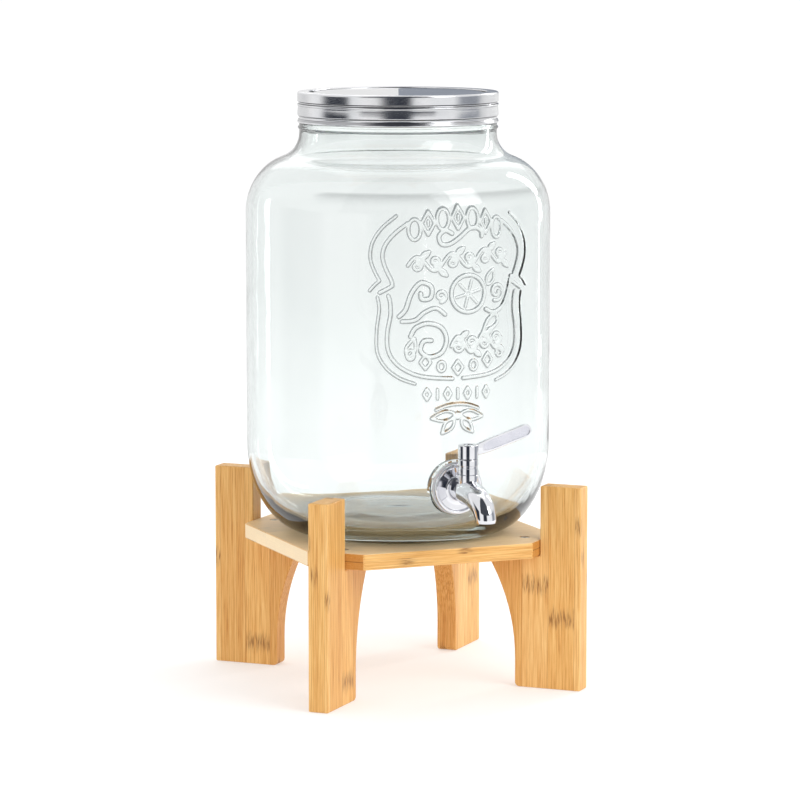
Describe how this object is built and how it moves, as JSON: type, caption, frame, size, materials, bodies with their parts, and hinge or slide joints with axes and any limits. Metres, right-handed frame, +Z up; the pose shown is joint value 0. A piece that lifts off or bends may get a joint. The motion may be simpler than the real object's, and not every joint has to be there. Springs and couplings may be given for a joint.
{
  "type": "beverage dispenser",
  "caption": "Glass drink dispenser with a screw lid and a chromed lever tap, standing on a bamboo board between radial legs.",
  "frame": {"origin": "on the floor under the middle of the object's whole box, so the jar's axis stands 28.5 mm behind it at y = +0.0285", "axes": "+Z up along the jar, -Y out along the tap's spout, +X the side to which the closed lever points"},
  "size_m": [0.22, 0.277, 0.4274],
  "materials": {
    "bamboo": "satin oiled bamboo, pressed side by side strips",
    "screw_steel": "zinc plated",
    "clear_glass": "polished clear pressed glass",
    "chrome": "bright chrome",
    "grey_silicone": "smooth grey silicone",
    "clear_silicone": "smooth milky silicone",
    "white_nylon": "moulded white nylon",
    "black_rubber": "smooth black rubber",
    "lid_steel": "satin tinned steel, rolled"
  },
  "bodies": {
    "stand": {"stand_board": "bamboo", "leg_front_right": "bamboo", "leg_back_right": "bamboo", "leg_back_left": "bamboo", "leg_front_left": "bamboo", "leg_screw_front_right": "screw_steel", "leg_screw_back_right": "screw_steel", "leg_screw_back_left": "screw_steel", "leg_screw_front_left": "screw_steel"},
    "jar": {"glass_jar": "clear_glass", "tap_body": "chrome", "outer_gasket": "grey_silicone", "inner_gasket": "grey_silicone", "shank_washer": "white_nylon", "lock_nut": "white_nylon", "valve_bonnet": "chrome"},
    "valve": {"valve_plug": "chrome", "upper_o_ring": "black_rubber", "lower_o_ring": "black_rubber", "lever": "chrome", "lever_screw": "chrome"},
    "lid_gasket": {"lid_gasket": "clear_silicone"},
    "lid_disc": {"lid_disc": "lid_steel"},
    "lid_band": {"lid_band": "lid_steel"}
  },
  "joints": [
    {"name": "jar_lift", "type": "slide", "parent": "stand", "child": "jar", "axis": [0, 0, 1], "range_m": [0, 0.06]},
    {"name": "tap_turn", "type": "hinge", "parent": "jar", "child": "valve", "pos_m": [0, -0.1005, 0.154], "axis": [0, 0, 1], "range_deg": [-90, 0]},
    {"name": "lid_lift", "type": "slide", "parent": "jar", "child": "lid_gasket", "axis": [0, 0, 1], "range_m": [0, 0.05]},
    {"name": "lid_rise", "type": "slide", "parent": "lid_gasket", "child": "lid_disc", "axis": [0, 0, 1], "range_m": [0, 0.008]},
    {"name": "lid_turn", "type": "hinge", "parent": "lid_disc", "child": "lid_band", "pos_m": [0, 0.0285, 0.4233], "axis": [0, 0, 1], "range_deg": [0, 450]}
  ],
  "couplings": [
    {"joint": "lid_rise", "follows": "lid_turn", "m_per_rad": 0.0010106}
  ]
}
